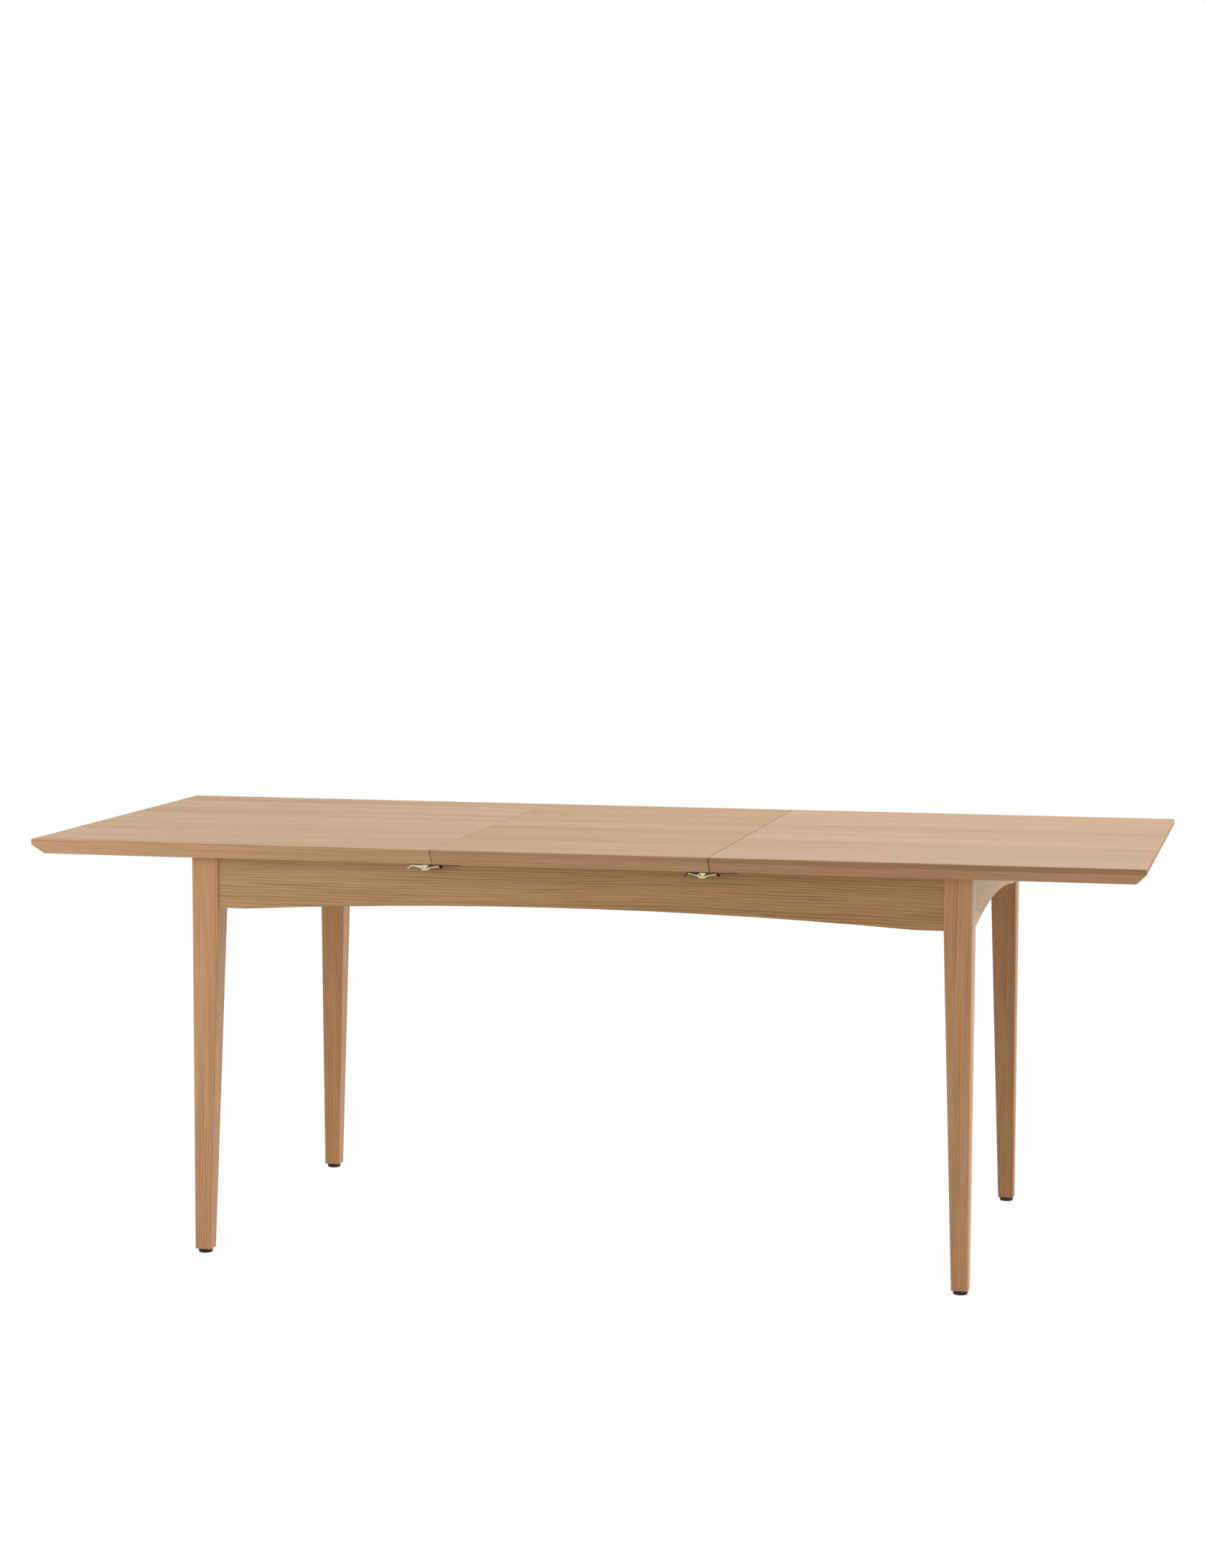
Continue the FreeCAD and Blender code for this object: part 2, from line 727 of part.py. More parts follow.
def lever():
    # A bent lever: a boss round the rivet, an arm rising to the crest and a tip curled down.
    half = LEVER_WIDTH / 2
    crest_u = PIVOT_U - LEVER_LENGTH
    crest_w = -LATCH_SHEET - LEVER_HEADROOM
    tip_u = crest_u - TIP_LENGTH
    tip_w = crest_w - TIP_DROP

    def at(u, w):
        return side_view(u, w, -half)

    boss_top = at(PIVOT_U, PIVOT_W + LEVER_BOSS)
    boss_low = at(PIVOT_U, PIVOT_W - LEVER_BOSS)
    boss_nose = at(PIVOT_U + LEVER_BOSS, PIVOT_W)
    crest_outer = at(crest_u + CREST_ROUND, crest_w)
    crest_top = at(crest_u, crest_w - CREST_ROUND / 6)
    neck_outer = at(crest_u - CREST_ROUND * 0.7, crest_w - CREST_ROUND * 0.8)
    tip_outer = at(tip_u, tip_w)
    tip_inner = at(tip_u + LEVER_SHEET * 0.8, tip_w - LEVER_SHEET * 0.6)
    neck_inner = at(crest_u, crest_w - LEVER_SHEET - CREST_ROUND * 0.4)
    crest_inner = at(crest_u + CREST_ROUND, crest_w - LEVER_SHEET)
    edges = [
        line(boss_top, crest_outer),
        arc(crest_outer, crest_top, neck_outer),
        line(neck_outer, tip_outer),
        line(tip_outer, tip_inner),
        line(tip_inner, neck_inner),
        line(neck_inner, crest_inner),
        line(crest_inner, boss_low),
        arc(boss_low, boss_nose, boss_top),
    ]
    body = outline_prism(edges, Y_AXIS * LEVER_WIDTH)
    trunnion_u, trunnion_w = trunnion_place()
    holes = [
        cross_rod(PIVOT_RADIUS + PIVOT_FIT, LEVER_WIDTH, PIVOT_U, PIVOT_W),
        cross_rod(TRUNNION_RADIUS + PIVOT_FIT, LEVER_WIDTH, trunnion_u, trunnion_w),
    ]
    return cut(body, holes)


def tongue_top(u):
    # The tongue's upper face slopes up from the straps to just under the keeper.
    end = -LATCH_SHEET - TONGUE_GAP
    rise = (end + TONGUE_DROP) / (TONGUE_END - TONGUE_START)
    return end - (TONGUE_END - u) * rise


def strap_outline(y):
    # A strap from the trunnion that dips under the rivet and rises to the tongue.
    trunnion_u, trunnion_w = trunnion_place()
    dip_top = PIVOT_W - PIVOT_RADIUS - STRAP_CLEARANCE
    dip_low = dip_top - STRAP_SHEET
    eye = TRUNNION_RADIUS + LATCH_SHEET / 2
    front_u = PIVOT_U + RIVET_RADIUS
    blade_u = TONGUE_START + STRAP_SHEET
    corners = [
        (trunnion_u - eye, trunnion_w),
        (trunnion_u, trunnion_w + eye),
        (trunnion_u + eye, trunnion_w),
        (trunnion_u + eye + STRAP_SHEET, dip_top),
        (front_u, dip_top),
        (TONGUE_START, tongue_top(TONGUE_START)),
        (blade_u, tongue_top(blade_u)),
        (blade_u, tongue_top(blade_u) - TONGUE_SHEET),
        (front_u + STRAP_SHEET / 2, dip_low),
        (trunnion_u + eye, dip_low),
    ]
    return [side_view(u, w, y) for u, w in corners]


def tongue():
    # Two straps carry a sloping blade, whose end is bent down into a lip.
    inner = LEVER_WIDTH / 2 + STRAP_GAP
    outer = inner + STRAP_WIDTH
    start = tongue_top(TONGUE_START)
    end = tongue_top(TONGUE_END)
    lip_u = TONGUE_END + LIP_REACH
    blade_corners = [
        (TONGUE_START, start),
        (TONGUE_END, end),
        (lip_u, end - LIP_DROP),
        (lip_u - TONGUE_SHEET, end - LIP_DROP - TONGUE_SHEET / 2),
        (TONGUE_END - TONGUE_SHEET / 2, end - TONGUE_SHEET),
        (TONGUE_START, start - TONGUE_SHEET),
    ]
    blade = polygon_prism([side_view(u, w, -outer) for u, w in blade_corners], Y_AXIS * (2 * outer))
    straps = [polygon_prism(strap_outline(y), Y_AXIS * STRAP_WIDTH) for y in (inner, -outer)]
    trunnion_u, trunnion_w = trunnion_place()
    stubs = [rod(TRUNNION_RADIUS, inner - STRAP_GAP, point(trunnion_u, y, trunnion_w), Y_AXIS)
             for y in (STRAP_GAP, -inner)]
    return join(straps + [blade] + stubs)


def keeper():
    half = LATCH_WIDTH / 2
    sheet = block(KEEPER_START, KEEPER_START + KEEPER_LENGTH, -half, half, -LATCH_SHEET, 0)
    return cut(sheet, [small_screw_void(latch_screw_at(u)) for u in keeper_screws_u()])


# Groups of fasteners

def end_top_screws(side):
    screws = [wood_screw(runner_screw_head(side, face, x), Z_AXIS, RUNNER_SCREW)
              for face in FACES for x in runner_screw_rows(side)]
    return screws + [small_screw(head) for head in latch_screw_heads(side + "_top")]


def frame_screws():
    screws = [wood_screw(cross_screw_head(face, side), Z_AXIS, CROSS_SCREW) for face, side in CORNERS]
    for face, side in CORNERS:
        for head, way in brace_screw_heads():
            screws.append(at_corner(wood_screw(head, way, BRACE_SCREW), face, side))
    return screws


def save(name, solids):
    shape = solids[0] if len(solids) == 1 else Part.makeCompound(solids)
    if not shape.isValid():
        print("invalid shape:", name)
    shape.exportStep("parts/" + name + ".step")


def save_top():
    for side in SIDES:
        save(side + "_top", [end_top(side)])
        save(side + "_top_screws", end_top_screws(side))
        for face in FACES:
            save(side + "_runner_" + face, [runner(side, face)])
    for face in FACES:
        save("leaf_" + face, [leaf_half(face)])
        save("leaf_" + face + "_screws", [small_screw(head) for head in latch_screw_heads("leaf_" + face)])
    save("hinge_barrels_front", [front_barrel(x) for x in hinge_rows()])
    save("hinge_barrels_back", [back_barrel(x) for x in hinge_rows()])
    save("leaf_pins", [leaf_pin(side, y, 0.0) for side in SIDES for y in pin_rows()])


def save_frame():
    for face, side in CORNERS:
        save("leg_" + face + "_" + side, [at_corner(leg(), face, side)])
        save("foot_" + face + "_" + side, [at_corner(foot_glide(), face, side)])
        save("brace_" + face + "_" + side, [at_corner(corner_brace(), face, side)])
    for face in FACES:
        save("apron_" + face, [long_apron(face)])
        save("fixed_rail_" + face, [fixed_rail(face)])
    for side in SIDES:
        save("apron_" + side, [end_apron(side)])
        save("cross_rail_" + side, [drilled_cross_rail(side)])
        save("storage_bearer_" + side, [storage_bearer(side, 0.0)])
    save("hanger_bolts", [at_corner(hanger_bolt(0.0), face, side) for face, side in CORNERS])
    save("hanger_nuts", [at_corner(hanger_nut(), face, side) for face, side in CORNERS])
    save("foot_nails", [at_corner(foot_nail(0.0), face, side) for face, side in CORNERS])
    save("frame_screws", frame_screws())
    save("runner_bumpers", [bumper(side, face) for face, side in CORNERS])
    save("leaf_pads", [leaf_pad(side, face) for face, side in CORNERS])


def save_latches():
    for name in LATCHES:
        save("latch_plate_" + name, [place_latch(latch_plate(), name), place_latch(latch_rivet(), name)])
        save("latch_lever_" + name, [place_latch(lever(), name)])
        save("latch_tongue_" + name, [place_latch(tongue(), name)])
        save("latch_keeper_" + name, [place_latch(keeper(), name)])


os.makedirs("parts", exist_ok=True)
save_top()
save_frame()
save_latches()
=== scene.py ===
import math

import bmesh
import bpy
from mathutils import Matrix, Vector


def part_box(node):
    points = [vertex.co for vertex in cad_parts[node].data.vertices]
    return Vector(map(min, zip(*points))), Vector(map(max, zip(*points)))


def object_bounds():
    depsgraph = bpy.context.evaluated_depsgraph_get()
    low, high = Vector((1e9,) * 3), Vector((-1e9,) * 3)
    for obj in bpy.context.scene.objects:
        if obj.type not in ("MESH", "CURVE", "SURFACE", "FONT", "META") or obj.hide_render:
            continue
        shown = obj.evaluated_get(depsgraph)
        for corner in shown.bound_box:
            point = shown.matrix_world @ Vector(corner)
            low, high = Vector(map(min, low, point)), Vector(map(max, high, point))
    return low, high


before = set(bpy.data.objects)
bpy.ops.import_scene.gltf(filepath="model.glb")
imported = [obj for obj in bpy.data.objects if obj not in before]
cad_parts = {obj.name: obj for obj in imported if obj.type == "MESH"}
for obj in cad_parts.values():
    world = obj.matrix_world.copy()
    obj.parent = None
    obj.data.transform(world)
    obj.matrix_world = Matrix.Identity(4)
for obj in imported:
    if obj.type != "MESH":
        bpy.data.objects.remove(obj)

CAD_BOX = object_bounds()

# Thickness of a latch's plate, whose sheet is painted dark as shade, and length of the black lip of its
# tongue
LATCH_SHEET = 0.0016
LATCH_LIP = 0.0055

# The lever with painted shade: from its tip to its crest, its boss and metal, its bright lower edge, and its
# tip painted dark as shade
LEVER_CREST = 0.010
LEVER_BOSS_RADIUS = 0.0038
LEVER_METAL = 0.0018
LEVER_BRIGHT_EDGE = 0.0013
LEVER_DARK_TIP = 0.008

# Tones that darken the wood under them
PORE_SHADE = (0.55, 0.47, 0.40, 1.0)
SEAM_SHADE = (0.50, 0.42, 0.36, 1.0)
JOINT_SHADE = (0.36, 0.26, 0.20, 1.0)
FLECK_SHADE = (0.62, 0.50, 0.42, 1.0)
END_LIPPING_TINT = (0.78, 0.72, 0.69)

# Colours of the pads, the bumpers, the floor and the white room
FELT_DARK = (0.20, 0.19, 0.17, 1.0)
FELT_LIGHT = (0.36, 0.34, 0.31, 1.0)
RUBBER = (0.022, 0.022, 0.022)
FLOOR_WHITE = (0.95, 0.95, 0.95, 1.0)
WHITE = (1.0, 1.0, 1.0, 1.0)

# Each metal's roughness, and how often its drawn lines come in a metre
BRASS_FINISH = (0.30, 1800.0)
TONGUE_FINISH = (0.32, 1500.0)
BLACK_FINISH = (0.42, 1200.0)
STEEL_FINISH = (0.28, 900.0)

# Where a board's look changes: depths under its face for the lipping and the bevel, height over its back
LIPPING_START = (0.000625, 0.001125)
BEVEL_START = (0.00975, 0.01075)
BACK_START = (0.00025, 0.00075)

# Reach of the dark line at a joint of the leaf, and its strength at the left and the right joint
JOINT_LINE = (0.0005, 0.0014)
LEFT_JOINT_LINE = 0.12
RIGHT_JOINT_LINE = 0.65

# The staves' range of tones and its shift, and how far one draw of the wood lies from the next
STAVE_TONES = 0.42
STAVE_TONE_SHIFT = -0.08
STAVE_SHIFT = 0.031

# Each noise of the oak: how often it changes in a metre along and across the grain, its detail and roughness
GRAIN_NOISES = {
    "drift": (1.0, 5.0, 2.0, 0.5),
    "wave": (4.5, 22.0, 3.0, 0.5),
    "patch": (1.4, 14.0, 2.0, 0.5),
    "band": (0.7, 38.0, 3.0, 0.6),
    "broken": (3.0, 70.0, 2.0, 0.5),
    "fibre": (8.0, 310.0, 3.0, 0.65),
    "dash": (32.0, 1300.0, 2.0, 0.5),
}
# How many rings each of these noises bends the grain by, and the rings' slant into the board
RING_BENDS = {"drift": 7.0, "wave": 1.5, "broken": 1.2}
RING_SLANT = 0.4
# Axes along, across and into the board for each direction of its grain
GRAIN_ORDER = {"X": (0, 2, 1), "Y": (1, 2, 0), "Z": (2, 0, 1)}

# First draws of the boards, the legs and the aprons
BOARD_SEED = 1
LEG_SEED = 11
APRON_SEED = 21

# Each board's draw of staves, strength of figure, and tint of the oak on face, edge band and bevel; the
# band's and bevel's tints are painted light and shade, the front-facing band darker towards the right and
# the downward bevel lighter as if lit from the floor
BOARD_LOOKS = {
    "left_top": (826, 1.8, (1.00, 0.99, 0.95), (1.07, 1.07, 1.04), (1.21, 1.23, 1.24)),
    "leaf_front": (2, 1.0, (0.97, 0.92, 0.82), (0.88, 0.87, 0.83), (1.00, 1.00, 0.95)),
    "leaf_back": (3, 1.0, (0.97, 0.94, 0.86), (0.90, 0.88, 0.85), (1.00, 1.00, 0.95)),
    "right_top": (4, 0.9, (1.02, 1.01, 0.98), (0.74, 0.72, 0.60), (0.99, 0.92, 0.88)),
}
# Each apron's direction and strength of grain lines, and its tint at the low and high ends of its length;
# the front apron's darkening towards its high end is painted shade where the light falls off
APRON_LOOKS = {
    "apron_front": ("X", 0.85, (0.99, 1.00, 1.03), (0.91, 0.88, 0.80)),
    "apron_back": ("X", 0.85, (0.97, 0.96, 0.96), (0.97, 0.96, 0.96)),
    "apron_left": ("Y", 0.45, (0.95, 1.00, 1.10), (0.95, 1.00, 1.10)),
    "apron_right": ("Y", 0.55, (0.95, 1.03, 1.18), (0.95, 1.03, 1.18)),
}
# Strength of the legs' grain lines, and each leg's tint over the oak, darker on the back legs
LEG_LINES = 0.85
LEG_TINTS = {
    "leg_front_left": (1.03, 1.03, 1.04),
    "leg_front_right": (0.98, 0.98, 0.96),
    "leg_back_left": (0.84, 0.82, 0.72),
    "leg_back_right": (0.77, 0.75, 0.68),
}
# Each lamp's size, its place and the point that it faces
LAMPS = {
    "key": (2.0, (-2.4, -2.0, 1.7), (-0.6, 0.0, 0.5)),
    "top": (3.0, (0.9, 1.4, 3.3), (0.2, 0.0, 0.7)),
    "fill": (3.4, (7.5, 0.4, 1.5), (0.0, 0.0, 0.5)),
}
# Height of the camera's sensor in mm, how far it sees, and where the floor's shadow has faded out
SENSOR_HEIGHT = 36.0
VIEW_REACH = 200.0
FLOOR_FADE = 4.0

bl_info = {
    "name": "Extending Oak Table",
    "version": (1, 0, 0),
    "blender": (4, 5, 0),
    "location": "3D View > Sidebar > Table",
    "description": "Finishes an extending oak dining table and sets its studio stage",
    "category": "Object",
}


# Sizes and colours that a user would change

class OakSettings(bpy.types.PropertyGroup):
    """Looks of the oak."""

    top_light: bpy.props.FloatVectorProperty(
        name="Top, early wood", description="Pale wood of the top between its grain lines",
        subtype="COLOR", size=3, min=0, max=1, default=(0.620, 0.405, 0.245))
    top_dark: bpy.props.FloatVectorProperty(
        name="Top, late wood", description="Grain lines of the top",
        subtype="COLOR", size=3, min=0, max=1, default=(0.485, 0.290, 0.160))
    edge_light: bpy.props.FloatVectorProperty(
        name="Edge, early wood", description="Pale wood of the solid edges of the top",
        subtype="COLOR", size=3, min=0, max=1, default=(0.620, 0.365, 0.200))
    edge_dark: bpy.props.FloatVectorProperty(
        name="Edge, late wood", description="Grain lines of the solid edges of the top",
        subtype="COLOR", size=3, min=0, max=1, default=(0.420, 0.235, 0.118))
    leg_light: bpy.props.FloatVectorProperty(
        name="Leg, early wood", description="Pale wood of the legs",
        subtype="COLOR", size=3, min=0, max=1, default=(0.642, 0.346, 0.159))
    leg_dark: bpy.props.FloatVectorProperty(
        name="Leg, late wood", description="Grain lines of the legs",
        subtype="COLOR", size=3, min=0, max=1, default=(0.443, 0.222, 0.089))
    apron_light: bpy.props.FloatVectorProperty(
        name="Apron, early wood", description="Pale wood of the aprons",
        subtype="COLOR", size=3, min=0, max=1, default=(0.572, 0.328, 0.136))
    apron_dark: bpy.props.FloatVectorProperty(
        name="Apron, late wood", description="Grain lines of the aprons",
        subtype="COLOR", size=3, min=0, max=1, default=(0.359, 0.192, 0.066))
    stave_width: bpy.props.FloatProperty(
        name="Stave width", description="Width of the boards glued into the top",
        subtype="DISTANCE", unit="LENGTH", min=0.02, max=0.3, default=0.092)
    ring_pitch: bpy.props.FloatProperty(
        name="Ring pitch", description="Distance between the grain lines",
        subtype="DISTANCE", unit="LENGTH", min=0.001, max=0.05, default=0.0054)


class HardwareSettings(bpy.types.PropertyGroup):
    """Looks of the latches, fasteners and feet."""

    brass: bpy.props.FloatVectorProperty(
        name="Latch brass", description="Colour of the satin brass latches",
        subtype="COLOR", size=3, min=0, max=1, default=(0.80, 0.69, 0.44))
    black_steel: bpy.props.FloatVectorProperty(
        name="Latch black", description="Colour of the blackened steel of the latches",
        subtype="COLOR", size=3, min=0, max=1, default=(0.035, 0.032, 0.030))
    steel: bpy.props.FloatVectorProperty(
        name="Fastener steel", description="Colour of the plated screws, nails, bolts and nuts",
        subtype="COLOR", size=3, min=0, max=1, default=(0.52, 0.52, 0.53))
    plastic: bpy.props.FloatVectorProperty(
        name="Foot plastic", description="Colour of the moulded feet",
        subtype="COLOR", size=3, min=0, max=1, default=(0.008, 0.008, 0.009))
    beech: bpy.props.FloatVectorProperty(
        name="Inner beech", description="Colour of the rails, runners and braces",
        subtype="COLOR", size=3, min=0, max=1, default=(0.56, 0.38, 0.215))


class StageSettings(bpy.types.PropertyGroup):
    """Camera, light and floor."""

    camera_place: bpy.props.FloatVectorProperty(
        name="Camera place", description="Where the camera stands",
        subtype="TRANSLATION", unit="LENGTH", size=3, default=(1.3235, -5.994, 1.388))
    camera_yaw: bpy.props.FloatProperty(
        name="Camera yaw", description="Turn of the camera to the left",
        subtype="ANGLE", unit="ROTATION", default=math.radians(12.783))
    camera_pitch: bpy.props.FloatProperty(
        name="Camera pitch", description="Tilt of the camera down from level",
        subtype="ANGLE", unit="ROTATION", default=math.radians(5.112))
    camera_roll: bpy.props.FloatProperty(
        name="Camera roll", description="Turn of the camera about its own line of sight",
        subtype="ANGLE", unit="ROTATION", default=math.radians(0.145))
    camera_lens: bpy.props.FloatProperty(
        name="Camera lens", description="Focal length for a sensor 36 mm high",
        subtype="DISTANCE_CAMERA", unit="CAMERA", default=75.52)
    floor_size: bpy.props.FloatProperty(
        name="Floor size", description="Length of the floor's sides",
        subtype="DISTANCE", unit="LENGTH", min=5, max=200, default=80.0)
    key_power: bpy.props.FloatProperty(
        name="Key power", description="Power of the soft lamp at the front left",
        subtype="POWER", unit="POWER", min=0, default=31.0)
    top_power: bpy.props.FloatProperty(
        name="Top power", description="Power of the large soft lamp over the table",
        subtype="POWER", unit="POWER", min=0, default=48.0)
    fill_power: bpy.props.FloatProperty(
        name="Fill power", description="Power of the soft lamp at the right",
        subtype="POWER", unit="POWER", min=0, default=215.0)
    room_light: bpy.props.FloatProperty(
        name="Room light", description="Brightness of the light from all around",
        min=0, max=2, default=0.42)


# Shader maths

class Value:
    """A shader socket that takes part in Python sums."""

    def __init__(self, graph, socket):
        self.graph = graph
        self.socket = socket

    def sum(self, operation, first, second):
        return self.graph.node("ShaderNodeMath", {"operation": operation}, {0: first, 1: second})

    def __add__(self, other):
        return self.sum("ADD", self, other)

    __radd__ = __add__

    def __sub__(self, other):
        return self.sum("SUBTRACT", self, other)

    def __rsub__(self, other):
        return self.sum("SUBTRACT", other, self)

    def __mul__(self, other):
        return self.sum("MULTIPLY", self, other)

    __rmul__ = __mul__

    def __truediv__(self, other):
        return self.sum("DIVIDE", self, other)

    def __pow__(self, other):
        return self.sum("POWER", self, other)

    def apply(self, operation, other=0.0):
        return self.sum(operation, self, other)


class Graph:
    """A material's or world's node tree, built one node at a time."""

    def __init__(self, tree):
        self.tree = tree
        tree.nodes.clear()

    def node(self, kind, settings=None, inputs=None, output=0):
        made = self.tree.nodes.new(kind)
        for name, value in (settings or {}).items():
            if name == "stops":
                self.set_stops(made.color_ramp, value)
            else:
                setattr(made, name, value)
        for name, value in (inputs or {}).items():
            if isinstance(value, Value):
                self.tree.links.new(value.socket, made.inputs[name])
            else:
                made.inputs[name].default_value = value
        if not made.outputs:
            return None
        return Value(self, made.outputs[output])

    @staticmethod
    def set_stops(ramp, stops):
        while len(ramp.elements) < len(stops):
            ramp.elements.new(1.0)
        for element, (place, level) in zip(ramp.elements, stops):
            element.position = place
            element.color = (level, level, level, 1.0)

    def vector(self, x, y, z):
        return self.node("ShaderNodeCombineXYZ", None, {"X": x, "Y": y, "Z": z})

    def noise(self, x, y, z, detail=2.0, roughness=0.5):
        inputs = {"Vector": self.vector(x, y, z), "Scale": 1.0, "Detail": detail, "Roughness": roughness}
        return self.node("ShaderNodeTexNoise", {"noise_dimensions": "3D"}, inputs)

    def even_noise(self, place, scale, detail, roughness=0.5):
        """Noise that is alike in all directions."""
        x, y, z = place
        return self.noise(x * scale, y * scale, z * scale, detail, roughness)

    def ramp(self, value, stops):
        return self.node("ShaderNodeValToRGB", {"stops": stops}, {"Fac": value})

    def fade(self, distance, start, end):
        """Rises from 0 to 1 between two distances, set so that the far one is half the ramp."""
        reach = 2 * end
        return self.ramp(distance / reach, [(start / reach, 0.0), (0.5, 1.0)])

    def mix(self, factor, first, second, blend="MIX"):
        return self.node("ShaderNodeMix", {"data_type": "RGBA", "blend_type": blend},
                         {"Factor": factor, 6: first, 7: second}, output=2)

    def place(self):
        coordinates = self.node("ShaderNodeTexCoord", output=3)
        split = self.tree.nodes.new("ShaderNodeSeparateXYZ")
        self.tree.links.new(coordinates.socket, split.inputs[0])
        return [Value(self, socket) for socket in split.outputs]

    def bump(self, height, strength, distance):
        inputs = {"Height": height, "Strength": strength, "Distance": distance}
        return self.node("ShaderNodeBump", None, inputs)

    def seen_directly(self):
        """1 for rays from the camera, from mirrors and through glass, so that they find a white room."""
        path = self.tree.nodes.new("ShaderNodeLightPath")
        names = ("Is Camera Ray", "Is Glossy Ray", "Is Transmission Ray")
        camera, glossy, transmission = [Value(self, path.outputs[name]) for name in names]
        return (camera + glossy + transmission).apply("MINIMUM", 1.0)

    def surface(self, **inputs):
        named = {name.replace("_", " ").title(): value for name, value in inputs.items()}
        if "Ior" in named:
            named["IOR"] = named.pop("Ior")
        shader = self.node("ShaderNodeBsdfPrincipled", None, named)
        self.node("ShaderNodeOutputMaterial", None, {"Surface": shader})


def rgba(colour):
    return (*colour, 1.0)


def new_material(name):
    material = bpy.data.materials.new(name)
    material.use_nodes = True
    return material, Graph(material.node_tree)


class Grain:
    """Oak's grain lines, fibres and open pores along one direction."""

    def __init__(self, graph, length, across, depth, pitch, lines, clouds):
        noises = {}
        for name, (along, aside, detail, roughness) in GRAIN_NOISES.items():
            noises[name] = graph.noise(length * along, across * aside, depth * aside, detail, roughness)
        patch = noises["patch"]
        broken = noises["broken"]
        fibre = noises["fibre"]
        rings = (across + depth * RING_SLANT) / pitch
        for name, reach in RING_BENDS.items():
            rings = rings + noises[name] * reach
        late = ((rings * math.tau).apply("SINE") * 0.5 + 0.5) ** 1.4
        self.patch = patch
        self.lines = late * graph.ramp(broken, [(0.36, 0.15), (0.64, 1.0)])
        dashes = graph.ramp(noises["dash"], [(0.34, 1.0), (0.44, 0.0)])
        self.pores = dashes * graph.ramp(late, [(0.2, 0.2), (0.9, 1.0)])
        self.fibre = fibre
        self.dark = ((fibre - 0.5) * 1.7 + (self.lines - 0.26) * lines
                     + ((patch - 0.5) * 0.9 + (noises["band"] - 0.5) * 1.1) * clouds + 0.42)

    def colour(self, graph, light, dark, tone=0.0, pore_depth=0.36):
        amount = (self.dark + tone).apply("MAXIMUM", 0.0).apply("MINIMUM", 1.0)
        colour = graph.mix(amount, rgba(light), rgba(dark))
        return graph.mix(self.pores * pore_depth, colour, PORE_SHADE, "MULTIPLY")


def oak(name, along, light, dark, seed, figure, low_tint=(1.0, 1.0, 1.0), high_tint=(1.0, 1.0, 1.0)):
    """Oiled solid oak with its grain along one axis and a tint that drifts from end to end, which paints
    shade where the light falls off along a board.
    """
    settings = bpy.context.scene.oak_settings
    material, graph = new_material(name)
    axes = graph.place()
    length, across, depth = [axes[index] for index in GRAIN_ORDER[along]]
    grain = Grain(graph, length + seed * 1.7, across + seed * STAVE_SHIFT, depth, settings.ring_pitch,
                  figure, 0.55)
    height = grain.fibre * 0.5 - grain.pores * 0.6 - grain.lines * 0.15
    # Painted shade: the tint drifts along the length, so the front apron darkens towards its right end
    light_falloff = graph.ramp(length + 0.5, [(0.2, 0.0), (0.9, 1.0)])
    tint = graph.mix(light_falloff, rgba(low_tint), rgba(high_tint))
    graph.surface(base_color=graph.mix(1.0, grain.colour(graph, light, dark), tint, "MULTIPLY"),
                  roughness=0.52 + grain.pores * 0.22 + (grain.patch - 0.5) * 0.10,
                  normal=graph.bump(height, 0.28, 0.0004), ior=1.4,
                  coat_weight=0.22, coat_roughness=0.30)
    return material


def tinted(colour, tint):
    return [part * share for part, share in zip(colour, tint)]


